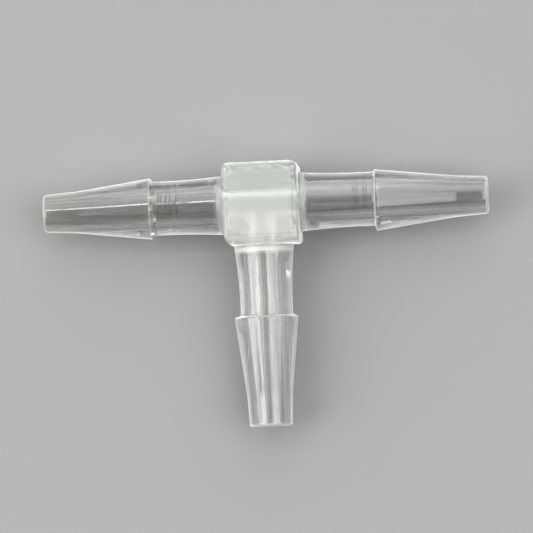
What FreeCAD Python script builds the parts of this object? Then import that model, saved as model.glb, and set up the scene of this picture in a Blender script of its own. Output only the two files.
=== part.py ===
import FreeCAD, Part
import math
import os

# Barbed tee connector for soft tubing with a 6.4 mm (1/4 in) bore, in natural polypropylene.
#
# Frame: the origin is the point where the run's bore and the branch's bore cross. The run lies along
# X, the branch points along -Y, and +Z is up. The tee lies flat on the underside of its hub.
#
# The real fitting is one moulding with no moving part. It is divided here along its own feature lines:
# the hub block, and on each of the three arms a neck that the tube grips, a barb that the tube is
# pushed over, and a nose that the tube starts on. Each section is a closed solid that meets the next
# one face to face, and the bore runs through all of them. Lengths are in millimetres.

# The bores
BORE_RADIUS = 1.8
MOUTH_ROUNDING = 0.15  # inner edge of each mouth

# The hub block
HUB_WIDTH = 9.9  # along the run
HUB_HEIGHT = 10.8  # along the branch
HUB_DEPTH = 10.4  # across the plane of the tee
HUB_DRAFT_DEG = 0.8  # its four sides lean in from the parting plane at z = 0
HUB_FACE_FILLET = 0.5  # round its upper and lower faces
ROOT_LENGTH = 0.5  # the boss that each arm grows out of
ROOT_FILLET = 0.4  # where that boss leaves the hub's side

# The hub's corners, seen from above. The one between the left arm and the branch is the fullest.
CORNER_BACK_RIGHT = 1.0
CORNER_BACK_LEFT = 0.9
CORNER_BRANCH_LEFT = 1.4
CORNER_BRANCH_RIGHT = 0.6

# The arms. Distances are measured out along the arm from the point where the bores cross.
RIGHT_ARM = {
    "angle": 0,  # about +Z, from +X
    "hub_half": HUB_WIDTH / 2,
    "reach": 29.4,
    "root_radius": 3.8,
    "flare_length": 7.2,  # from the root to the straight part of the neck
    "neck_radius": 3.5,
    "crest": 14.8,  # the barb's largest circle
    "crest_radius": 3.98,
    "crest_rounding": 0.1,
    "back_lean": 0.5,  # the barb's back face runs this far along the arm for each unit it rises
    "nose_start": 25.1,
    "nose_start_radius": 2.69,
    "nose_end_radius": 2.42,
    "lip_rounding": 0.4,
    "off_axis": -0.2,  # of the barb and nose from the bore's axis, to the left looking outwards
}

# The left arm was moulded a little shorter than the right one, and with its barb true to the bore.
LEFT_ARM = dict(
    RIGHT_ARM,
    angle=180,
    reach=28.5,
    crest=14.5,
    crest_radius=3.96,
    back_lean=0.85,
    nose_start=24.25,
    lip_rounding=0.45,
    off_axis=0,
)

# The branch has a slimmer neck, and a fuller barb and nose.
BRANCH_ARM = {
    "angle": -90,
    "hub_half": HUB_HEIGHT / 2,
    "reach": 28.9,
    "root_radius": 3.85,
    "flare_length": 7.2,
    "neck_radius": 3.4,
    "crest": 14.7,
    "crest_radius": 4.13,
    "crest_rounding": 0.15,
    "back_lean": 0.3,
    "nose_start": 25.2,
    "nose_start_radius": 2.92,
    "nose_end_radius": 2.755,
    "lip_rounding": 0.25,
    "off_axis": -0.08,
}
ARMS = {"left": LEFT_ARM, "right": RIGHT_ARM, "branch": BRANCH_ARM}

# Details that every arm shares
SHOULDER_FILLET = 0.15  # between the neck and the barb's back face
COLLAR_LENGTH = 0.4  # the barb section starts with this much of the neck, to hold that fillet
BURIED_DEPTH = 0.1  # the barb's cone starts this far inside the collar
NOSE_BLEND_RADIUS = 15.0  # eases the barb's cone into the nose
NOSE_BLEND_LENGTH = 0.8  # the barb section ends with this much of the nose, to hold that blend

ORIGIN = FreeCAD.Vector(0, 0, 0)
ALONG_X = FreeCAD.Vector(1, 0, 0)
ALONG_Z = FreeCAD.Vector(0, 0, 1)
TINY = 1e-6
PARTS_FOLDER = "parts"


def rounded_wire(corners):
    """A closed wire of straight lines through (point, rounding) corners, each with its own arc."""
    arcs = []
    for index, (corner, rounding) in enumerate(corners):
        back = (corners[index - 1][0] - corner).normalize()
        ahead = (corners[(index + 1) % len(corners)][0] - corner).normalize()
        half_angle = back.getAngle(ahead) / 2
        setback = rounding / math.tan(half_angle)
        inward = (back + ahead).normalize()
        middle = corner + inward * (rounding / math.sin(half_angle) - rounding)
        arcs.append((corner + back * setback, middle, corner + ahead * setback))
    edges = []
    for index, (start, middle, end) in enumerate(arcs):
        previous_end = arcs[index - 1][2]
        if previous_end.distanceToPoint(start) > TINY:
            edges.append(Part.LineSegment(previous_end, start).toShape())
        if start.distanceToPoint(end) > TINY:
            edges.append(Part.Arc(start, middle, end).toShape())
    return Part.Wire(edges)


def turned(profile):
    """The solid turned about X inside (along, radius, rounding) corners."""
    first_along = profile[0][0]
    last_along = profile[-1][0]
    closed = [(first_along, 0, 0), *profile, (last_along, 0, 0)]
    corners = [(FreeCAD.Vector(along, 0, radius), rounding) for along, radius, rounding in closed]
    return Part.Face(rounded_wire(corners)).revolve(ORIGIN, ALONG_X, 360)


def bore(reach):
    """The bore from the crossing out to a distance, to be cut away."""
    return Part.makeCylinder(BORE_RADIUS, reach, ORIGIN, ALONG_X)


def root_end(arm):
    """Where the hub's root boss ends and the neck begins."""
    return arm["hub_half"] + ROOT_LENGTH


def neck_end(arm):
    """Where the neck section ends and the barb section begins."""
    shoulder = arm["crest"] - arm["back_lean"] * (arm["crest_radius"] - arm["neck_radius"])
    return shoulder - COLLAR_LENGTH


def nose_face(arm):
    """Where the barb section ends and the nose section begins, and the outer radius there."""
    share = NOSE_BLEND_LENGTH / (arm["reach"] - arm["nose_start"])
    narrowing = arm["nose_start_radius"] - arm["nose_end_radius"]
    return arm["nose_start"] + NOSE_BLEND_LENGTH, arm["nose_start_radius"] - share * narrowing


def neck(arm):
    """The seat that the tube closes on: one long arc from the root, then straight to the shoulder."""
    start = root_end(arm)
    rise = arm["root_radius"] - arm["neck_radius"]
    length = arm["flare_length"]
    flare_radius = (length**2 + rise**2) / (2 * rise)
    corner = start + length - flare_radius * math.tan(math.asin(length / flare_radius) / 2)
    body = turned(
        [
            (start, arm["root_radius"], 0),
            (corner, arm["neck_radius"], flare_radius),
            (neck_end(arm), arm["neck_radius"], 0),
        ]
    )
    return body.cut(bore(arm["reach"]))


def on_neck(edge, arm):
    """Whether an edge's ends lie on the neck's cylinder."""
    radii = [math.hypot(vertex.Y, vertex.Z) for vertex in edge.Vertexes]
    return all(abs(radius - arm["neck_radius"]) < TINY for radius in radii)


def barb(arm):
    """The cone that the tube is pushed over, with its steep back face towards the neck."""
    end, end_radius = nose_face(arm)
    buried_radius = arm["neck_radius"] - abs(arm["off_axis"]) - BURIED_DEPTH
    buried = arm["crest"] - arm["back_lean"] * (arm["crest_radius"] - buried_radius)
    cone = turned(
        [
            (buried, buried_radius, 0),
            (arm["crest"], arm["crest_radius"], arm["crest_rounding"]),
            (arm["nose_start"], arm["nose_start_radius"], NOSE_BLEND_RADIUS),
            (end, end_radius, 0),
        ]
    )
    cone.translate(FreeCAD.Vector(0, arm["off_axis"], 0))
    start = neck_end(arm)
    collar_start = FreeCAD.Vector(start, 0, 0)
    collar = Part.makeCylinder(arm["neck_radius"], arm["crest"] - start, collar_start, ALONG_X)
    body = collar.fuse(cone)
    shoulder = [edge for edge in body.Edges if edge.BoundBox.XMin > start + TINY and on_neck(edge, arm)]
    return body.makeFillet(SHOULDER_FILLET, shoulder).cut(bore(arm["reach"]))


def nose(arm):
    """The nearly straight end that the tube starts on, with a rounded lip."""
    start, start_radius = nose_face(arm)
    body = turned(
        [
            (start, start_radius, 0),
            (arm["reach"], arm["nose_end_radius"], arm["lip_rounding"]),
        ]
    )
    body.translate(FreeCAD.Vector(0, arm["off_axis"], 0))
    body = body.cut(bore(arm["reach"]))
    mouth = [
        edge
        for edge in body.Edges
        if abs(edge.BoundBox.XMin - arm["reach"]) < TINY and edge.BoundBox.ZMax < BORE_RADIUS + TINY
    ]
    return body.makeFillet(MOUTH_ROUNDING, mouth)


def hub_outline(height):
    """The hub's outline at a height over or under the parting plane, drawn in by the draft."""
    draft = abs(height) * math.tan(math.radians(HUB_DRAFT_DEG))
    half_width = HUB_WIDTH / 2 - draft
    half_height = HUB_HEIGHT / 2 - draft
    return rounded_wire(
        [
            (FreeCAD.Vector(half_width, half_height, height), CORNER_BACK_RIGHT),
            (FreeCAD.Vector(-half_width, half_height, height), CORNER_BACK_LEFT),
            (FreeCAD.Vector(-half_width, -half_height, height), CORNER_BRANCH_LEFT),
            (FreeCAD.Vector(half_width, -half_height, height), CORNER_BRANCH_RIGHT),
        ]
    )


def hub_block():
    """The drafted block, rounded along the edges of its upper and lower faces."""
    half_depth = HUB_DEPTH / 2
    outlines = [hub_outline(height) for height in (-half_depth, 0, half_depth)]
    block = Part.makeLoft(outlines, True, True)
    rims = [
        edge
        for edge in block.Edges
        if all(abs(abs(vertex.Z) - half_depth) < TINY for vertex in edge.Vertexes)
    ]
    return block.makeFillet(HUB_FACE_FILLET, rims)


def with_root(body, arm):
    """The hub with one arm's root boss added and the fillet round it."""
    boss = Part.makeCylinder(arm["root_radius"], root_end(arm), ORIGIN, ALONG_X)
    turned_back = body.rotated(ORIGIN, ALONG_Z, -arm["angle"]).fuse(boss)
    rim = [
        edge
        for edge in turned_back.Edges
        if all(
            abs(vertex.X - arm["hub_half"]) < ROOT_LENGTH / 2
            and abs(math.hypot(vertex.Y, vertex.Z) - arm["root_radius"]) < TINY
            for vertex in edge.Vertexes
        )
    ]
    return turned_back.makeFillet(ROOT_FILLET, rim).rotated(ORIGIN, ALONG_Z, arm["angle"])


def hub():
    """The block with the three root bosses, and the bores that cross in it."""
    body = hub_block()
    for arm in ARMS.values():
        body = with_root(body, arm)
    for arm in ARMS.values():
        body = body.cut(bore(arm["reach"]).rotated(ORIGIN, ALONG_Z, arm["angle"]))
    return body


def sections():
    """Every section of the fitting by its node name."""
    made = {"hub": hub()}
    for name, arm in ARMS.items():
        for section in (neck, barb, nose):
            solid = section(arm).rotated(ORIGIN, ALONG_Z, arm["angle"])
            made[name + "_" + section.__name__] = solid
    return made


os.makedirs(PARTS_FOLDER, exist_ok=True)
for node, shape in sections().items():
    (solid,) = shape.Solids
    solid.exportStep(os.path.join(PARTS_FOLDER, node + ".step"))
    print(node, "valid" if solid.isValid() else "NOT VALID", round(solid.Volume, 2), "mm3")
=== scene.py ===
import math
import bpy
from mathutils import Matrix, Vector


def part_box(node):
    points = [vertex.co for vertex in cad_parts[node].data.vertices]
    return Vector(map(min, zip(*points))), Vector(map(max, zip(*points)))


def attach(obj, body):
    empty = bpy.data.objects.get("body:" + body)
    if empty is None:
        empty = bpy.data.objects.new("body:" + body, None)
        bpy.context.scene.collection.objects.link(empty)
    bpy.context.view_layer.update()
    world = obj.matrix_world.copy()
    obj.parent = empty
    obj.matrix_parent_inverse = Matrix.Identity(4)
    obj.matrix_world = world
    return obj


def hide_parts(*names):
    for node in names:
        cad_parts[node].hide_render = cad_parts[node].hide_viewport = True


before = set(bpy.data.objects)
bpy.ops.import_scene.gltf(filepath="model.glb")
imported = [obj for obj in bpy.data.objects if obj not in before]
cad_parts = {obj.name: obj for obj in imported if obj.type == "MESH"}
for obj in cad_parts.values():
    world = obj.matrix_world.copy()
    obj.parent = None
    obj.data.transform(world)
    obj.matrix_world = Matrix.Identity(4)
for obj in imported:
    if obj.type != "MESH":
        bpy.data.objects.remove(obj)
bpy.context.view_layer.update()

# A barbed tee connector for soft tubing, moulded in natural polypropylene: almost clear in the thin
# arms and milky in the thick hub. It is one moulding, so one seamless skin stands for all the CAD
# sections, because a wall inside clear plastic would show. Everything is in metres, in the CAD frame.
#
# An arm is built along its own "out" direction, from the point where the bores cross, and then swung
# into place. Its skin is a lathe whose rings may be shifted sideways, so that a barb can sit off axis.

from types import SimpleNamespace

import bmesh
import bpy
import numpy as np
from mathutils import Matrix, Vector

MM = 0.001
SECTIONS = sorted(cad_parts)
HUB_LOW, HUB_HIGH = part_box("hub")

# The fitting's dimensions, as the CAD part has them
BORE_RADIUS = 1.8 * MM
MOUTH_ROUNDING = 0.15 * MM
HUB_HALF_WIDTH = 4.95 * MM
HUB_HALF_HEIGHT = 5.4 * MM
HUB_HALF_DEPTH = HUB_HIGH.z
HUB_DRAFT = math.tan(math.radians(0.8))
HUB_FACE_FILLET = 0.5 * MM
HUB_CORNERS = {  # by the signs of x and y
    (1, 1): 1.0 * MM,
    (-1, 1): 0.9 * MM,
    (-1, -1): 1.4 * MM,
    (1, -1): 0.6 * MM,
}
LEAST_CORNER = 0.3  # of a corner's rounding, kept where the outline is drawn in
ROOT_LENGTH = 0.5 * MM
ROOT_FILLET = 0.4 * MM
SHOULDER_FILLET = 0.15 * MM
NOSE_BLEND_RADIUS = 15.0 * MM
BRANCH_BORE_START = -0.4 * MM  # just past the axis of the run's bore
BRANCH_BORE_LESS = 0.01 * MM  # off its radius, so that the two walls don't cross edge on edge

RIGHT_ARM = {
    "turn": 0.0,
    "reach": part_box("right_nose")[1].x,
    "hub_half": HUB_HALF_WIDTH,
    "root_radius": 3.8 * MM,
    "flare_length": 7.2 * MM,
    "neck_radius": 3.5 * MM,
    "crest": 14.8 * MM,
    "crest_radius": 3.98 * MM,
    "crest_rounding": 0.1 * MM,
    "back_lean": 0.5,
    "nose_start": 25.1 * MM,
    "nose_start_radius": 2.69 * MM,
    "nose_end_radius": 2.42 * MM,
    "lip_rounding": 0.4 * MM,
    "off_axis": -0.2 * MM,
    "tool_rings": (11.95 * MM, 12.45 * MM, 13.3 * MM, 13.65 * MM),
    "haze": 0.04,
    "thin_share": 0.2,
    "seed": 3,
}
LEFT_ARM = dict(
    RIGHT_ARM,
    turn=180.0,
    reach=-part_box("left_nose")[0].x,
    crest=14.5 * MM,
    crest_radius=3.96 * MM,
    back_lean=0.85,
    nose_start=24.25 * MM,
    lip_rounding=0.45 * MM,
    off_axis=0.0,
    tool_rings=(11.0 * MM, 11.85 * MM, 12.35 * MM, 13.0 * MM, 13.4 * MM),
    haze=0.025,
    seed=5,
)
BRANCH_ARM = {
    "turn": -90.0,
    "reach": -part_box("branch_nose")[0].y,
    "hub_half": HUB_HALF_HEIGHT,
    "root_radius": 3.85 * MM,
    "flare_length": 7.2 * MM,
    "neck_radius": 3.4 * MM,
    "crest": 14.7 * MM,
    "crest_radius": 4.13 * MM,
    "crest_rounding": 0.15 * MM,
    "back_lean": 0.3,
    "nose_start": 25.2 * MM,
    "nose_start_radius": 2.92 * MM,
    "nose_end_radius": 2.755 * MM,
    "lip_rounding": 0.25 * MM,
    "off_axis": -0.08 * MM,
    "tool_rings": (),
    "haze": 0.11,
    "thin_share": 0.35,
    "seed": 8,
}
ARMS = (RIGHT_ARM, LEFT_ARM, BRANCH_ARM)

# What the mould left on the skin
TOOL_RING_DEPTH = 0.012 * MM
TOOL_RING_HALF_WIDTH = 0.08 * MM
PARTING_RIDGE = 0.009 * MM  # a fine line on each side of every arm, in the plane of the tee
PARTING_STEPS = (-1.4, -0.7, 0.0, 0.7, 1.4)  # degrees round the arm across that ridge
PARTING_NARROWNESS = 8000  # the power of the cosine that gives the ridge its width
DRAW_WAVE = 0.0012 * MM  # height of one of the waves that run along the arms
DRAW_WAVE_COUNTS = range(5, 47, 3)  # waves round the arm
DRAW_WAVE_DRIFT = 0.08  # how far a wave turns about the arm from end to end, in radians
PAD_MARGINS = {"left": 0.75 * MM, "right": 0.75 * MM, "back": 0.65 * MM, "branch": 1.3 * MM}
PAD_HEIGHT = 0.08 * MM  # a low pad on the hub's upper and lower faces, inside those margins
PAD_SLOPE = 0.12 * MM
SINK = 0.05 * MM  # the thick hub's faces sank a little as they cooled

# How milky the plastic is, from 0 to 1. A pair of distances is where a change starts and ends.
HUB_FADE = (0.4 * MM, 1.3 * MM)  # out of the hub: its milkiness ends
ARM_FADE = (0.6 * MM, 1.2 * MM)  # out of the hub: the arms' streaks start
THINNING = (2.0 * MM, 15.0 * MM)  # from the lip: an arm's haze grows from its thin_share to all of it
SEAM_HAZE = 0.17  # on each side of an arm, along the parting line
SEAM_SPREAD = (0.33, 0.72)  # out of the plane of the tee, over the radius
STREAK_HAZE = 0.16
WORN_HAZE = 0.15
CREST_WEAR = (0.03 * MM, 0.15 * MM)  # from the crest
BRANCH_CREST_SHARE = 0.35  # of the run's wear there
LIP_WEAR = (0.15 * MM, 0.5 * MM)  # from the lip
LIP_SHARE = 1.6  # of the wear at a crest
HUB_HAZE = 0.27  # of the hub's skin
HUB_FOOT_HAZE = 0.05  # more towards the branch
FOOT_CHANGE = (-1.5 * MM, 3.0 * MM)  # down from the run's axis
HUB_EDGE_HAZE = -0.08  # less near the hub's edges
EDGE_SPREAD = (0.4 * MM, 1.2 * MM)
HUB_SPECKLE = 0.6  # up or down in fine marks near the hub's edges
SPECKLE_FROM_EDGE = 0.6 * MM
SPECKLE_SPREAD = (0.3 * MM, 0.7 * MM)
HUB_END_HAZE = 0.3  # more in the sides that face to and from the branch
END_SPREAD = (0.1 * MM, 0.5 * MM)
BORE_WALL = BORE_RADIUS + 0.05 * MM  # a point nearer to a bore's axis is on that bore's wall
BORE_BAND_HAZE = 0.5  # on each side of the branch's bore inside the hub
BAND_ASIDE = (0.9 * MM, 1.4 * MM)
BAND_DOWN = (1.0 * MM, 2.0 * MM)

# Textures, each with its scale and detail
FINE_STREAKS = (9.0, 1.2)
BROAD_STREAKS = (3.5, 1.0)
DRAWN_OUT = 3.5  # how fast the streaks change along an arm, per metre, against once round it
CLOUDS = (420.0, 2.0)
GRAIN = (5200.0, 2.0)
SPECKLES = (2600.0, 1.0)
BROAD_RELIEF = 2.5  # against the fine streaks
GRAIN_RELIEF = 0.05
RELIEF_STRENGTH = 0.5
RELIEF_DEPTH = 0.011 * MM

# The plastic's surface and colours
ARM_ROUGHNESS = 0.05
HUB_ROUGHNESS = 0.3  # more than in the arms
CLOUD_ROUGHNESS = 0.04
REFRACTION = 1.49
SCATTER_DEPTH = 1.5 * MM
SHEEN = 1.0
SHEEN_ROUGHNESS = 0.3
LEFT_COLOUR = (0.69, 0.68, 0.655, 1.0)
LEFT_CAST = (0.68, 0.66, 0.69, 1.0)  # a faint violet cast in parts of the left arm
CAST_STRENGTH = 0.8
CASTS = {  # by how far along the arm
    19.5 * MM: (1.5 * MM, 4.5 * MM),
    8.3 * MM: (1.5 * MM, 3.5 * MM),
}
RIGHT_COLOUR = (0.68, 0.695, 0.68, 1.0)
BRANCH_COLOUR = (0.69, 0.69, 0.675, 1.0)
HUB_COLOUR = (0.66, 0.69, 0.655, 1.0)
HUB_FOOT_COLOUR = (0.675, 0.685, 0.65, 1.0)
FOOT_COLOUR_CHANGE = (-2.0 * MM, 3.0 * MM)
# Painted shade: thin dark lines at the tool rings stand in for the shadow of their grooves, and they fade
# out towards -y
RING_SHADOW_COLOUR = (0.3, 0.3, 0.3, 1.0)
RING_SHADE = 0.62  # how dark the painted shade at the tool rings is
RING_LINE = (0.04 * MM, 0.11 * MM)  # from a ring's middle
RING_SHADE_REACH = (-2.0 * MM, -0.5 * MM)  # in y: the painted ring shade fades out towards -y

# The floor and the light
FLOOR_HALF = 1.5
FLOOR_COLOURS = ((0.165, 0.165, 0.163, 1.0), (0.175, 0.175, 0.173, 1.0))
FLOOR_MOTTLE = (9.0, 2.0)
FLOOR_ROUGHNESS = 0.8
PANEL_HEIGHT = 0.5
PANELS = {  # the lowest and highest (x, y), and the radiance
    "back_panel": ((-0.09, 0.19), (0.3, 0.85), 1.8),
    "left_panel": ((-0.5, -0.15), (-0.21, 0.12), 8.0),
    "far_left_panel": ((-1.3, -0.4), (-0.5, 0.12), 6.5),
    "right_panel": ((0.1, -0.3), (0.8, 0.19), 4.5),
    "left_strip": ((-0.35, 0.144), (-0.09, 0.183), 17.5),
    "middle_strip": ((-0.09, 0.155), (0.05, 0.175), 1.5),
}
GLOW_TOWARDS = (-0.2, 0.95, 0.2)
GLOW_SPREAD = (0.0, 0.9)  # along that direction: where the glow starts and where it is full
GLOW = 1.9
HORIZON = (0.02, 0.3)  # the heights between which the bright horizon fades out
FILL = (0.05, 0.55)  # all round, from the front of the tee to its back
FILL_SPREAD = (-0.6, 0.1)  # in y

# How finely the skin is divided
SEGMENTS = 180
BORE_SEGMENTS = 120
ARC_STEP = math.radians(10)
RUN_STEP = 0.6 * MM
CORNER_STEPS = 10
SIDE_STEPS = 16
SIDE_LEVELS = 6
FILLET_LEVELS = 8
SINK_RINGS = 10
SINK_MIDDLE = 0.06  # the innermost ring's share of the pad
MOUTH_POINTS = 6
BORE_STEP = 2.0 * MM
SHARP_ANGLE = math.radians(30)
OVERLAP = 0.01 * MM  # how far a skin that grows out of another one starts inside it
CORE_START = -2.0 * MM  # an arm starts as a core inside the hub
CORE_BURIED = 1.2 * MM  # which widens this far inside the hub's side
CORE_WALL = 0.3  # over the bore, in millimetres
CORE_WALL_STEP = 0.1  # more for each step of the seed, so that no two cores share a surface
ROOT_FOOT = 1.1  # of the root's fillet: how far out from the root an arm's skin meets the hub's side
FACE_INSIDE = 0.5 * MM  # how far an arm's end face goes on inside the bore
CUT_BEYOND = 1.0 * MM  # how far a bore's cutter goes on past its mouth
NEAR_FULL_CORNER = 0.95  # of a corner's rounding: as far round it as a root follows


def fillet_points(before, corner, after, rounding):
    """Points along the arc that rounds a corner between two straight runs."""
    back = (before - corner).normalized()
    ahead = (after - corner).normalized()
    half_angle = back.angle(ahead) / 2
    start = corner + back * (rounding / math.tan(half_angle))
    end = corner + ahead * (rounding / math.tan(half_angle))
    centre = corner + (back + ahead).normalized() * (rounding / math.sin(half_angle))
    sweep = math.pi - 2 * half_angle
    steps = max(2, math.ceil(sweep / ARC_STEP), math.ceil(rounding * sweep / RUN_STEP))
    from_centre = start - centre
    turn = math.copysign(sweep / steps, from_centre.cross(end - centre))
    return [centre + Matrix.Rotation(turn * step, 2) @ from_centre for step in range(steps + 1)]


def rounded_path(corners):
    """Closely spaced (along, radius) points through (along, radius, rounding) corners."""
    spots = [Vector(corner[:2]) for corner in corners]
    bends = [[spots[0]]]
    for index in range(1, len(spots) - 1):
        rounding = corners[index][2]
        if rounding:
            bends.append(fillet_points(spots[index - 1], spots[index], spots[index + 1], rounding))
        else:
            bends.append([spots[index]])
    bends.append([spots[-1]])
    path = []
    for bend, following in zip(bends, bends[1:]):
        path += bend
        gap = following[0] - bend[-1]
        steps = math.ceil(gap.length / RUN_STEP)
        path += [bend[-1] + gap * (step / steps) for step in range(1, steps)]
    return path + bends[-1]


def outer_path(arm):
    """The arm's outline from inside the hub to its end, without the marks of the tool."""
    buried = arm["hub_half"] - CORE_BURIED
    core_radius = BORE_RADIUS + (CORE_WALL + CORE_WALL_STEP * arm["seed"]) * MM
    flare_start = arm["hub_half"] + ROOT_LENGTH
    rise = arm["root_radius"] - arm["neck_radius"]
    flare_radius = (arm["flare_length"] ** 2 + rise**2) / (2 * rise)
    swing = math.asin(arm["flare_length"] / flare_radius)
    flare_corner = flare_start + arm["flare_length"] - flare_radius * math.tan(swing / 2)
    shoulder = arm["crest"] - arm["back_lean"] * (arm["crest_radius"] - arm["neck_radius"])
    return rounded_path(
        [
            (CORE_START, core_radius, 0),
            (buried, core_radius, 0),
            (arm["hub_half"] - OVERLAP, arm["root_radius"] + ROOT_FOOT * ROOT_FILLET, 0),
            (arm["hub_half"] - OVERLAP, arm["root_radius"], ROOT_FILLET),
            (flare_start, arm["root_radius"], 0),
            (flare_corner, arm["neck_radius"], flare_radius),
            (shoulder, arm["neck_radius"], SHOULDER_FILLET),
            (arm["crest"], arm["crest_radius"], arm["crest_rounding"]),
            (arm["nose_start"], arm["nose_start_radius"], NOSE_BLEND_RADIUS),
            (arm["reach"], arm["nose_end_radius"], arm["lip_rounding"]),
            (arm["reach"], BORE_RADIUS - FACE_INSIDE, 0),
        ]
    )


def with_tool_rings(path, arm):
    """The path with a shallow groove at each of the arm's tool rings."""
    marked = list(path)
    for ring in arm["tool_rings"]:
        index = next(i for i, point in enumerate(marked) if point.x > ring + TOOL_RING_HALF_WIDTH)
        radius = marked[index].y
        keep = [point for point in marked if abs(point.x - ring) > TOOL_RING_HALF_WIDTH]
        index = next(i for i, point in enumerate(keep) if point.x > ring)
        groove = [
            Vector((ring + share * TOOL_RING_HALF_WIDTH, radius - TOOL_RING_DEPTH * (1 - share**2) ** 2))
            for share in (-1, -0.5, 0, 0.5, 1)
        ]
        marked = keep[:index] + groove + keep[index:]
    return marked


def hub_recess(arm, across, height):
    """How far the hub's side falls back from its flat middle, at points across and up that side."""
    recess = HUB_DRAFT * np.abs(height)
    half = HUB_HALF_WIDTH if arm is BRANCH_ARM else HUB_HALF_HEIGHT
    for side in (-1, 1):
        place = Matrix.Rotation(math.radians(arm["turn"]), 2) @ Vector((1, side))
        corner = HUB_CORNERS[(round(math.copysign(1, place.x)), round(math.copysign(1, place.y)))]
        past = np.clip(side * across - (half - corner), 0, corner * NEAR_FULL_CORNER)
        recess = recess + corner - np.sqrt(corner**2 - past**2)
    return recess


def ring_angles():
    """Angles round an arm, closer together across the parting ridge on each side."""
    step = 360 / SEGMENTS
    even = [step * index for index in range(SEGMENTS)]
    apart = [angle for angle in even if abs((angle + 90) % 180 - 90) > step / 2]
    close = [(side + across) % 360 for side in (0, 180) for across in PARTING_STEPS]
    return np.radians(sorted(apart + close))


def draw_waves(arm, along, angle):
    """The faint waves that run along an arm, from the polish of the mould."""
    random = np.random.default_rng(arm["seed"])
    height = 0
    for count in DRAW_WAVE_COUNTS:
        phase, drift, strength = random.random(3)
        turned = angle + DRAW_WAVE_DRIFT * (drift - 0.5) * along / arm["reach"]
        height = height + strength * np.sin(count * turned + 2 * math.pi * phase)
    return DRAW_WAVE * height


def lathe(rings, name):
    """A closed mesh object through rings of points, each an array of (x, y, z) rows."""
    count = len(rings[0])
    vertices = np.concatenate(rings)
    faces = [tuple(reversed(range(count)))]
    for ring in range(len(rings) - 1):
        for step in range(count):
            here = ring * count + step
            beside = ring * count + (step + 1) % count
            faces.append((here, beside, beside + count, here + count))
    faces.append(tuple(range((len(rings) - 1) * count, len(rings) * count)))
    mesh = bpy.data.meshes.new(name)
    mesh.from_pydata(vertices.tolist(), [], faces)
    piece = bpy.data.objects.new(name, mesh)
    bpy.context.scene.collection.objects.link(piece)
    return piece


def face_outwards(piece):
    """Turns every face of a closed piece to face outwards."""
    shape = bmesh.new()
    shape.from_mesh(piece.data)
    bmesh.ops.recalc_face_normals(shape, faces=shape.faces)
    shape.to_mesh(piece.data)
    shape.free()
    return piece


def arm_skin(arm, name):
    """The outside of one arm, solid to its axis."""
    angle = ring_angles()
    shoulder = arm["crest"] - arm["back_lean"] * (arm["crest_radius"] - arm["neck_radius"])
    parting = PARTING_RIDGE * np.cos(angle) ** PARTING_NARROWNESS
    rings = []
    for along, radius in with_tool_rings(outer_path(arm), arm):
        marked = radius
        outside = arm["hub_half"] + ROOT_LENGTH < along < arm["reach"] - arm["lip_rounding"]
        if outside:
            marked = radius + draw_waves(arm, along, angle) + parting
        across = marked * np.cos(angle)
        height = marked * np.sin(angle)
        near_root = np.clip((arm["hub_half"] + ROOT_LENGTH - along) / ROOT_LENGTH, 0, 1)
        out = along - near_root * hub_recess(arm, across, height)
        shift = arm["off_axis"] * np.clip((along - shoulder) / (arm["crest"] - shoulder), 0, 1)
        rings.append(np.stack([np.broadcast_to(out, angle.shape), across + shift, height], axis=1))
    skin = face_outwards(lathe(rings, name))
    skin.data.transform(Matrix.Rotation(math.radians(arm["turn"]), 4, "Z"))
    return skin


def hub_ring(height, inset, margins=None):
    """The hub's outline at a height, drawn in by the draft and a further inset, or by four margins."""
    drawn_in = HUB_DRAFT * abs(height) + inset
    margins = margins or dict.fromkeys(("left", "right", "back", "branch"), 0)
    arcs = []
    for (side_x, side_y), corner in HUB_CORNERS.items():
        radius = max(corner - inset, corner * LEAST_CORNER)
        half_width = HUB_HALF_WIDTH - drawn_in - margins["right" if side_x > 0 else "left"]
        half_height = HUB_HALF_HEIGHT - drawn_in - margins["back" if side_y > 0 else "branch"]
        centre = Vector((half_width - radius, half_height - radius))
        start = math.atan2(side_y, side_x) - math.pi / 4
        swing = np.linspace(start, start + math.pi / 2, CORNER_STEPS + 1)
        x = side_x * centre.x + radius * np.cos(swing)
        y = side_y * centre.y + radius * np.sin(swing)
        arcs.append(np.stack([x, y, np.full(swing.shape, height)], axis=1))
    points = []
    for arc, following in zip(arcs, arcs[1:] + arcs[:1]):
        straight = np.linspace(arc[-1], following[0], SIDE_STEPS + 1)[1:-1]
        points += [arc, straight]
    return np.concatenate(points)


def hub_skin(name):
    """The drafted block with rounded faces, each with a low pad that has sunk a little in the middle."""
    side_height = HUB_HALF_DEPTH - PAD_HEIGHT - HUB_FACE_FILLET
    upper = [hub_ring(height, 0) for height in np.linspace(0, side_height, SIDE_LEVELS)]
    for swing in np.linspace(0, math.pi / 2, FILLET_LEVELS + 1)[1:]:
        height = side_height + HUB_FACE_FILLET * math.sin(swing)
        upper.append(hub_ring(height, HUB_FACE_FILLET * (1 - math.cos(swing))))
    foot = {side: margin - PAD_SLOPE for side, margin in PAD_MARGINS.items()}
    middle = {side: margin + PAD_SLOPE / 2 for side, margin in foot.items()}
    upper.append(hub_ring(HUB_HALF_DEPTH - PAD_HEIGHT, 0, foot))
    upper.append(hub_ring(HUB_HALF_DEPTH - PAD_HEIGHT / 2, 0, middle))
    upper.append(hub_ring(HUB_HALF_DEPTH, 0, PAD_MARGINS))
    rim = upper[-1]
    centre = (rim.min(axis=0) + rim.max(axis=0)) / 2
    reach = rim.max(axis=0) - centre
    for share in np.linspace(1, SINK_MIDDLE, SINK_RINGS)[1:]:
        dished = centre + (rim - centre) * (share, share, 1)
        across, along = ((dished - centre)[:, :2] / reach[:2]).T
        dished[:, 2] -= SINK * ((1 - across**2) * (1 - along**2)) ** 2
        upper.append(dished)
    lower = [ring * (1, 1, -1) for ring in reversed(upper[1:])]
    return face_outwards(lathe(lower + upper, name))


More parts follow.
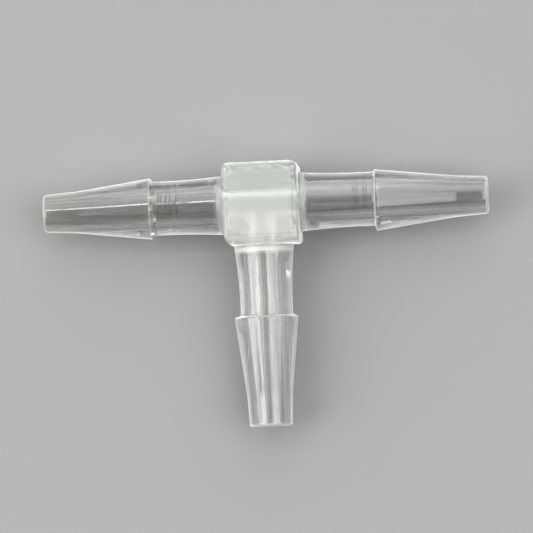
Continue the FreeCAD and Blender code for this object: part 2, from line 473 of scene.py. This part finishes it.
def bore_skin(name, turn, radius, start, end, through=False):
    """A bore's wall to be cut away, with a rounded mouth at its end, and at its start if it runs through."""
    angle = np.linspace(0, 2 * math.pi, BORE_SEGMENTS, endpoint=False)
    mouth = [
        (MOUTH_ROUNDING * (1 - math.sin(swing)), radius + MOUTH_ROUNDING * (1 - math.cos(swing)))
        for swing in np.linspace(0, math.pi / 2, MOUTH_POINTS)
    ]
    mouth.append((-CUT_BEYOND, radius + MOUTH_ROUNDING))
    count = round((end - start) / BORE_STEP)
    stations = [(along, radius) for along in np.linspace(start, end - 2 * MOUTH_ROUNDING, count)]
    if through:
        stations = [(start + back, wide) for back, wide in reversed(mouth)] + stations[1:]
    stations += [(end - back, wide) for back, wide in mouth]
    rings = []
    for along, wide in stations:
        place = np.full(angle.shape, along)
        rings.append(np.stack([place, wide * np.cos(angle), wide * np.sin(angle)], axis=1))
    skin = face_outwards(lathe(rings, name))
    skin.data.transform(Matrix.Rotation(math.radians(turn), 4, "Z"))
    return skin


def combine(base, other, operation):
    """Joins another closed piece to the base, or cuts it away, and removes the other."""
    change = base.modifiers.new(operation.lower(), "BOOLEAN")
    change.operation = operation
    change.solver = "EXACT"
    change.object = other
    depsgraph = bpy.context.evaluated_depsgraph_get()
    result = bpy.data.meshes.new_from_object(base.evaluated_get(depsgraph))
    base.modifiers.remove(change)
    base.data = result
    bpy.data.objects.remove(other)


def smooth(piece):
    """Smooth shading that keeps the sharp edges and the flat faces."""
    piece.data.polygons.foreach_set("use_smooth", [True] * len(piece.data.polygons))
    piece.data.set_sharp_from_angle(angle=SHARP_ANGLE)
    weighted = piece.modifiers.new("weighted_normals", "WEIGHTED_NORMAL")
    weighted.keep_sharp = True


def tee_moulding():
    """The whole moulding as one closed skin."""
    body = hub_skin("tee_moulding")
    for arm in ARMS:
        combine(body, arm_skin(arm, "arm"), "UNION")
    run = bore_skin("run_bore", 0, BORE_RADIUS, -LEFT_ARM["reach"], RIGHT_ARM["reach"], through=True)
    combine(body, run, "DIFFERENCE")
    radius = BORE_RADIUS - BRANCH_BORE_LESS
    branch = bore_skin("branch_bore", BRANCH_ARM["turn"], radius, BRANCH_BORE_START, BRANCH_ARM["reach"])
    combine(body, branch, "DIFFERENCE")
    smooth(body)
    return body


class Nodes:
    """Short ways to add shader nodes and link them."""

    def __init__(self, tree):
        self.tree = tree

    def add(self, kind, settings=None, inputs=None):
        """A node of a kind, with settings on the node, and values or sockets for its inputs."""
        node = self.tree.nodes.new(kind)
        for key, value in (settings or {}).items():
            setattr(node, key, value)
        for key, value in (inputs or {}).items():
            if isinstance(value, bpy.types.NodeSocket):
                self.tree.links.new(value, node.inputs[key])
            else:
                node.inputs[key].default_value = value
        return node

    def math(self, operation, *values):
        """A maths node's output."""
        node = self.add("ShaderNodeMath", {"operation": operation}, dict(enumerate(values)))
        return node.outputs[0]

    def ramp(self, value, low, high, to_low=0.0, to_high=1.0):
        """A value carried smoothly from one range to another."""
        node = self.add(
            "ShaderNodeMapRange",
            {"interpolation_type": "SMOOTHSTEP"},
            {"Value": value, "From Min": low, "From Max": high, "To Min": to_low, "To Max": to_high},
        )
        return node.outputs[0]

    def noise(self, vector, scale, detail=2.0):
        """A noise texture's value."""
        inputs = {"Vector": vector, "Scale": scale, "Detail": detail}
        return self.add("ShaderNodeTexNoise", None, inputs).outputs[0]

    def blend(self, share, first, second):
        """A mix of two colours."""
        node = self.add("ShaderNodeMix", {"data_type": "RGBA"}, {"Factor": share, "A": first, "B": second})
        return node.outputs["Result"]

    def choose(self, condition, if_not, if_so):
        """One of two values, by a condition of 0 or 1."""
        node = self.add("ShaderNodeMix", None, {"Factor": condition, "A": if_not, "B": if_so})
        return node.outputs["Result"]

    def by_arm(self, at, key):
        """The arms' own values of a dimension."""
        run = self.choose(at.on_right, LEFT_ARM[key], RIGHT_ARM[key])
        return self.choose(at.on_branch, run, BRANCH_ARM[key])

    def length(self, first, second):
        """The length of a line with two given legs."""
        squares = [self.math("MULTIPLY", leg, leg) for leg in (first, second)]
        return self.math("SQRT", self.math("ADD", *squares))

    def apart(self, first, second):
        """The distance between two values."""
        return self.math("ABSOLUTE", self.math("SUBTRACT", first, second))

    def rings(self, along, places):
        """Thin lines round an arm at places along it."""
        lines = 0.0
        for ring in places:
            line = self.ramp(self.apart(along, ring), *RING_LINE, 1.0, 0.0)
            lines = self.math("MAXIMUM", lines, line)
        return lines


def surface_fields(nodes):
    """Sockets that say where a point of the skin is, and the streaks that its arm has there."""
    at = SimpleNamespace()
    at.place = nodes.add("ShaderNodeTexCoord").outputs["Object"]
    at.x, at.y, z = nodes.add("ShaderNodeSeparateXYZ", None, {0: at.place}).outputs
    at.down = nodes.math("MULTIPLY", at.y, -1.0)
    at.aside = nodes.math("ABSOLUTE", at.x)

    # Which arm, how far along it, and how far out of the hub: below 0 inside the hub
    past_side = nodes.math("SUBTRACT", at.aside, HUB_HALF_WIDTH)
    past_foot = nodes.math("SUBTRACT", at.down, HUB_HALF_HEIGHT)
    out = nodes.math("MAXIMUM", past_side, past_foot)
    at.in_hub = nodes.ramp(out, *HUB_FADE, 1.0, 0.0)
    at.on_arm = nodes.ramp(out, *ARM_FADE)
    at.on_branch = nodes.math("GREATER_THAN", past_foot, past_side)
    at.on_right = nodes.math("GREATER_THAN", at.x, 0.0)
    at.along = nodes.choose(at.on_branch, at.aside, at.down)

    # How far from each bore's axis, and which way round the arm
    at.run_radius = nodes.length(at.y, z)
    at.branch_radius = nodes.length(at.x, z)
    radius = nodes.choose(at.on_branch, at.run_radius, at.branch_radius)
    round_arm = nodes.math("DIVIDE", nodes.choose(at.on_branch, at.y, at.x), radius)
    at.up_arm = nodes.math("DIVIDE", z, radius)

    # Streaks drawn out along each arm, straight down its cones
    lengthwise = nodes.math("MULTIPLY_ADD", at.along, DRAWN_OUT, nodes.by_arm(at, "seed"))
    drawn = nodes.add("ShaderNodeCombineXYZ", None, {0: lengthwise, 1: round_arm, 2: at.up_arm}).outputs[0]
    at.fine_streaks = nodes.noise(drawn, *FINE_STREAKS)
    at.broad_streaks = nodes.noise(drawn, *BROAD_STREAKS)
    return at


def arm_haze(nodes, at):
    """The arms' haze: streaky, thinner towards the lip, and more along the parting line and where worn."""
    to_lip = nodes.math("SUBTRACT", nodes.by_arm(at, "reach"), at.along)
    from_crest = nodes.apart(at.along, nodes.by_arm(at, "crest"))
    crest_wear = nodes.ramp(from_crest, *CREST_WEAR, 1.0, 0.0)
    crest_wear = nodes.math("MULTIPLY", crest_wear, nodes.choose(at.on_branch, 1.0, BRANCH_CREST_SHARE))
    lip_wear = nodes.ramp(to_lip, *LIP_WEAR, LIP_SHARE, 0.0)
    worn = nodes.math("MULTIPLY", nodes.math("MAXIMUM", crest_wear, lip_wear), WORN_HAZE)
    thickness = nodes.ramp(to_lip, *THINNING, nodes.by_arm(at, "thin_share"), 1.0)
    haze = nodes.math("MULTIPLY", nodes.by_arm(at, "haze"), thickness)
    haze = nodes.math("MULTIPLY", haze, nodes.math("SUBTRACT", 1.0, at.in_hub))
    streaks = nodes.math("MULTIPLY", nodes.math("SUBTRACT", at.fine_streaks, 0.5), at.on_arm)
    haze = nodes.math("MULTIPLY_ADD", streaks, STREAK_HAZE, haze)
    seam = nodes.ramp(nodes.math("ABSOLUTE", at.up_arm), *SEAM_SPREAD, SEAM_HAZE, 0.0)
    haze = nodes.math("MULTIPLY_ADD", seam, at.on_arm, haze)
    return nodes.math("ADD", haze, worn)


def hub_skin_haze(nodes, at):
    """The haze of the hub's outside: more at its foot and ends, and clearer and speckled near its edges."""
    from_side = nodes.math("SUBTRACT", HUB_HALF_WIDTH, at.aside)
    from_end = nodes.math("SUBTRACT", HUB_HALF_HEIGHT, nodes.math("ABSOLUTE", at.y))
    from_edge = nodes.math("MINIMUM", from_side, from_end)
    haze = nodes.ramp(at.down, *FOOT_CHANGE, HUB_HAZE, HUB_HAZE + HUB_FOOT_HAZE)
    from_speckles = nodes.apart(from_edge, SPECKLE_FROM_EDGE)
    speckled = nodes.ramp(from_speckles, *SPECKLE_SPREAD, HUB_SPECKLE, 0.0)
    speckles = nodes.math("SUBTRACT", nodes.noise(at.place, *SPECKLES), 0.5)
    haze = nodes.math("ADD", haze, nodes.math("MULTIPLY", speckled, speckles))
    haze = nodes.math("ADD", haze, nodes.ramp(from_edge, *EDGE_SPREAD, HUB_EDGE_HAZE, 0.0))
    haze = nodes.math("ADD", haze, nodes.ramp(from_end, *END_SPREAD, HUB_END_HAZE, 0.0))

    # Not on the bores' walls. The branch's bore ends where it meets the run's.
    past_run_bore = nodes.math("GREATER_THAN", at.y, BORE_RADIUS)
    from_branch_bore = nodes.math("MULTIPLY_ADD", past_run_bore, HUB_HALF_WIDTH, at.branch_radius)
    from_bore = nodes.math("MINIMUM", at.run_radius, from_branch_bore)
    on_skin = nodes.math("GREATER_THAN", from_bore, BORE_WALL)
    return nodes.math("MULTIPLY", haze, nodes.math("MULTIPLY", at.in_hub, on_skin))


def bore_band_haze(nodes, at):
    """The haze of the branch's bore on each side inside the hub."""
    in_bore = nodes.math("LESS_THAN", at.branch_radius, BORE_WALL)
    band = nodes.math("MULTIPLY", in_bore, nodes.ramp(at.aside, *BAND_ASIDE))
    band = nodes.math("MULTIPLY", band, nodes.ramp(at.down, *BAND_DOWN))
    band = nodes.math("MULTIPLY", band, at.in_hub)
    return nodes.math("MULTIPLY", band, BORE_BAND_HAZE)


def tint_and_ring_shade(nodes, at):
    """The plastic's colour: a little different in each arm and the hub, with painted shade in thin lines at
    the tool rings for the shadow of their grooves.
    """
    casts = [
        nodes.ramp(nodes.apart(at.along, middle), *spread, CAST_STRENGTH, 0.0)
        for middle, spread in CASTS.items()
    ]
    left = nodes.blend(nodes.math("MAXIMUM", *casts), LEFT_COLOUR, LEFT_CAST)
    run = nodes.blend(at.on_right, left, RIGHT_COLOUR)
    arm = nodes.blend(at.on_branch, run, BRANCH_COLOUR)
    hub = nodes.blend(nodes.ramp(at.down, *FOOT_COLOUR_CHANGE), HUB_COLOUR, HUB_FOOT_COLOUR)
    plain = nodes.blend(at.in_hub, arm, hub)
    # Painted shade at the tool rings, standing in for the shadow of their grooves, fading out towards -y
    right_ring_shade = nodes.rings(at.along, RIGHT_ARM["tool_rings"])
    left_ring_shade = nodes.rings(at.along, LEFT_ARM["tool_rings"])
    rings = nodes.choose(at.on_branch, nodes.choose(at.on_right, left_ring_shade, right_ring_shade), 0.0)
    shade = nodes.math("MULTIPLY", rings, nodes.ramp(at.y, *RING_SHADE_REACH, 0.0, RING_SHADE))
    return nodes.blend(shade, plain, RING_SHADOW_COLOUR)


def relief(nodes, at):
    """A normal that follows the streaks in the arms and a fine grain on the hub."""
    height = nodes.math("MULTIPLY_ADD", at.broad_streaks, BROAD_RELIEF, at.fine_streaks)
    height = nodes.math("MULTIPLY", height, at.on_arm)
    grain = nodes.math("MULTIPLY", nodes.noise(at.place, *GRAIN), at.in_hub)
    height = nodes.math("MULTIPLY_ADD", grain, GRAIN_RELIEF, height)
    inputs = {"Strength": RELIEF_STRENGTH, "Distance": RELIEF_DEPTH, "Height": height}
    return nodes.add("ShaderNodeBump", None, inputs).outputs[0]


def natural_polypropylene():
    """Uncoloured polypropylene: clear where it is thin, milky in the hub, drawn along each arm."""
    material = bpy.data.materials.new("natural_polypropylene")
    material.use_nodes = True
    material.node_tree.nodes.clear()
    nodes = Nodes(material.node_tree)
    at = surface_fields(nodes)

    # A ray that leaves the plastic isn't scattered by its skin a second time
    leaving = nodes.add("ShaderNodeNewGeometry").outputs["Backfacing"]
    haze = nodes.math("ADD", arm_haze(nodes, at), hub_skin_haze(nodes, at))
    haze = nodes.math("ADD", nodes.choose(leaving, haze, 0.0), bore_band_haze(nodes, at))
    roughness = nodes.math("MULTIPLY_ADD", at.in_hub, HUB_ROUGHNESS, ARM_ROUGHNESS)
    clouds = nodes.noise(at.place, *CLOUDS)
    shader = nodes.add(
        "ShaderNodeBsdfPrincipled",
        None,
        {
            "Base Color": tint_and_ring_shade(nodes, at),
            "Roughness": nodes.math("MULTIPLY_ADD", clouds, CLOUD_ROUGHNESS, roughness),
            "IOR": REFRACTION,
            "Transmission Weight": nodes.math("SUBTRACT", 1.0, haze),
            "Subsurface Weight": 1.0,
            "Subsurface Radius": (1.0, 1.0, 1.0),
            "Subsurface Scale": SCATTER_DEPTH,
            "Sheen Weight": SHEEN,
            "Sheen Roughness": SHEEN_ROUGHNESS,
            "Normal": relief(nodes, at),
        },
    )
    nodes.add("ShaderNodeOutputMaterial", None, {"Surface": shader.outputs[0]})
    return material


def floor_material():
    """A plain pale matt floor."""
    material = bpy.data.materials.new("pale_floor")
    material.use_nodes = True
    nodes = Nodes(material.node_tree)
    shader = material.node_tree.nodes["Principled BSDF"]
    place = nodes.add("ShaderNodeTexCoord").outputs["Object"]
    shade = nodes.blend(nodes.noise(place, *FLOOR_MOTTLE), *FLOOR_COLOURS)
    material.node_tree.links.new(shade, shader.inputs["Base Color"])
    shader.inputs["Roughness"].default_value = FLOOR_ROUGHNESS
    return material


def pale_floor():
    """A broad floor under the hub, where the tee lies."""
    mesh = bpy.data.meshes.new("floor")
    corners = [(x * FLOOR_HALF, y * FLOOR_HALF, 0) for x, y in ((-1, -1), (1, -1), (1, 1), (-1, 1))]
    mesh.from_pydata(corners, [], [(0, 1, 2, 3)])
    mesh.materials.append(floor_material())
    floor = bpy.data.objects.new("floor", mesh)
    floor.location.z = HUB_LOW.z
    bpy.context.scene.collection.objects.link(floor)


def panel(name, low, high, radiance):
    """A horizontal soft light over the tee, from its lowest (x, y) to its highest."""
    wide, deep = high[0] - low[0], high[1] - low[1]
    light = bpy.data.lights.new(name, "AREA")
    light.shape = "RECTANGLE"
    light.size, light.size_y = wide, deep
    light.energy = radiance * math.pi * wide * deep
    lamp = bpy.data.objects.new(name, light)
    lamp.location = ((low[0] + high[0]) / 2, (low[1] + high[1]) / 2, PANEL_HEIGHT)
    lamp.visible_camera = False
    bpy.context.scene.collection.objects.link(lamp)


def studio():
    """Soft studio light: panels overhead, and a pale room that glows behind the tee and at the horizon."""
    world = bpy.data.worlds.new("studio")
    world.use_nodes = True
    bpy.context.scene.world = world
    nodes = Nodes(world.node_tree)
    direction = nodes.add("ShaderNodeTexCoord").outputs["Generated"]
    _, behind, height = nodes.add("ShaderNodeSeparateXYZ", None, {0: direction}).outputs
    inputs = {0: direction, 1: GLOW_TOWARDS}
    towards = nodes.add("ShaderNodeVectorMath", {"operation": "DOT_PRODUCT"}, inputs).outputs["Value"]
    glow = nodes.ramp(towards, *GLOW_SPREAD, 0.0, GLOW)
    horizon = nodes.ramp(height, *HORIZON, 1.0, 0.0)
    fill = nodes.ramp(behind, *FILL_SPREAD, *FILL)
    brightness = nodes.math("ADD", nodes.math("ADD", glow, horizon), fill)
    background = world.node_tree.nodes["Background"]
    background.inputs["Color"].default_value = (1.0, 1.0, 1.0, 1.0)
    world.node_tree.links.new(brightness, background.inputs["Strength"])
    for name, (low, high, radiance) in PANELS.items():
        panel(name, low, high, radiance)
    bpy.context.scene.view_settings.view_transform = "Standard"


def camera():
    """A long lens nearly square above the tee, from a little to its right and its branch's side."""
    distance = 0.7
    frame_width = 69.3 * MM
    yaw, pitch, roll = (math.radians(degrees) for degrees in (3.4, 1.6, -2.57))
    right_of_hub = 0.57 * MM
    below_hub = 8.15 * MM
    data = bpy.data.cameras.new("camera")
    data.lens = data.sensor_width * distance / frame_width
    eye = bpy.data.objects.new("camera", data)
    back = Vector((math.sin(yaw) * math.cos(pitch), -math.sin(pitch), math.cos(yaw) * math.cos(pitch)))
    level_right = Vector((0, 1, 0)).cross(back).normalized()
    level_up = back.cross(level_right)
    right = level_right * math.cos(roll) + level_up * math.sin(roll)
    up = level_up * math.cos(roll) - level_right * math.sin(roll)
    target = right * right_of_hub - up * below_hub
    turn = Matrix((right, up, back)).transposed().to_4x4()
    eye.matrix_world = Matrix.Translation(target + back * distance) @ turn
    bpy.context.scene.collection.objects.link(eye)
    bpy.context.scene.camera = eye


camera()
pale_floor()
studio()
tee = tee_moulding()
tee.data.materials.clear()
tee.data.materials.append(natural_polypropylene())
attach(tee, "root")
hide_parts(*SECTIONS)
